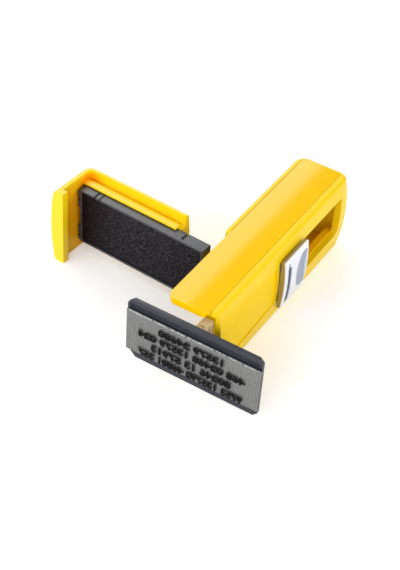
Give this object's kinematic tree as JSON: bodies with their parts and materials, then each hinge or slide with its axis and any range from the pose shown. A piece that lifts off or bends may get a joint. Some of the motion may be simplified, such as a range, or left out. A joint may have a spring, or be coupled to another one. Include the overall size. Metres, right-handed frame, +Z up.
{
  "type": "folding pocket self-inking stamp",
  "caption": "Slim folding pocket stamp, shown open: a thumb slide in the case side swings the rubber die and the L-shaped cover with the ink pad in or out together.",
  "frame": {"origin": "middle of the shut body's underside, on the flat face it rests on", "axes": "+X to the right, where the thumb button is; +Y along the case to its far end, so the die and the open front face -Y; +Z up"},
  "size_m": [0.0837, 0.0825, 0.0258],
  "materials": {
    "yellow": "smooth satin yellow plastic",
    "yellow_gloss": "polished yellow plastic",
    "white": "smooth white plastic",
    "dark": "fine matt dark navy grey plastic",
    "black": "matt black plastic",
    "rubber": "matt rubber with raised digits",
    "cushion": "thin adhesive foam",
    "ink_foam": "soft foam soaked with dark ink",
    "steel": "drawn steel pin"
  },
  "bodies": {
    "case": {"case_shell": "yellow", "top_lid": "yellow_gloss", "bottom_lid": "yellow_gloss", "side_panel": "yellow_gloss", "lower_rail": "yellow", "upper_rail": "yellow", "toggle_bracket": "white", "anchor_pin": "steel"},
    "slider": {"slide_carriage": "white", "thumb_button": "white", "cover_hinge_pin": "steel"},
    "cover": {"cover_shell": "yellow", "pad_tray": "black", "ink_pad": "ink_foam"},
    "toggle_rear": {"rear_link": "white", "knee_pin": "steel"},
    "toggle_front": {"front_link": "white"},
    "sled": {"die_sled": "white", "sled_pin": "steel", "die_hinge_pin": "steel"},
    "die": {"die_mount": "dark", "die_cushion": "cushion", "text_plate": "rubber"}
  },
  "joints": [
    {"name": "thumb_slide", "type": "slide", "parent": "case", "child": "slider", "axis": [0, 1, 0], "range_m": [0, 0.027]},
    {"name": "cover_swing", "type": "hinge", "parent": "slider", "child": "cover", "pos_m": [-0.00166, -0.01227, 0.0128], "axis": [0, 0, 1], "range_deg": [-0.05, 93.47]},
    {"name": "toggle_rear_turn", "type": "hinge", "parent": "case", "child": "toggle_rear", "pos_m": [-0.0034, 0.0335, 0.0084], "axis": [1, 0, 0], "range_deg": [-109.05, 0.05]},
    {"name": "toggle_front_turn", "type": "hinge", "parent": "toggle_rear", "child": "toggle_front", "pos_m": [-0.0018, 0.02127, 0.00346], "axis": [1, 0, 0], "range_deg": [-0.05, 218.05]},
    {"name": "sled_turn", "type": "hinge", "parent": "toggle_front", "child": "sled", "pos_m": [-0.0008, 0.00904, 0.0084], "axis": [1, 0, 0], "range_deg": [-109.05, 0.05]},
    {"name": "die_swing", "type": "hinge", "parent": "sled", "child": "die", "pos_m": [0.00542, -0.0381, 0.0128], "axis": [0, 0, 1], "range_deg": [-90.05, 0.05]}
  ],
  "couplings": [
    {"joint": "cover_swing", "follows": "thumb_slide", "rad_per_m": 60.388},
    {"joint": "toggle_rear_turn", "follows": "thumb_slide", "rad_per_m": -70.46},
    {"joint": "toggle_front_turn", "follows": "thumb_slide", "rad_per_m": 140.92},
    {"joint": "sled_turn", "follows": "thumb_slide", "rad_per_m": -70.46},
    {"joint": "die_swing", "follows": "thumb_slide", "rad_per_m": -58.178}
  ]
}
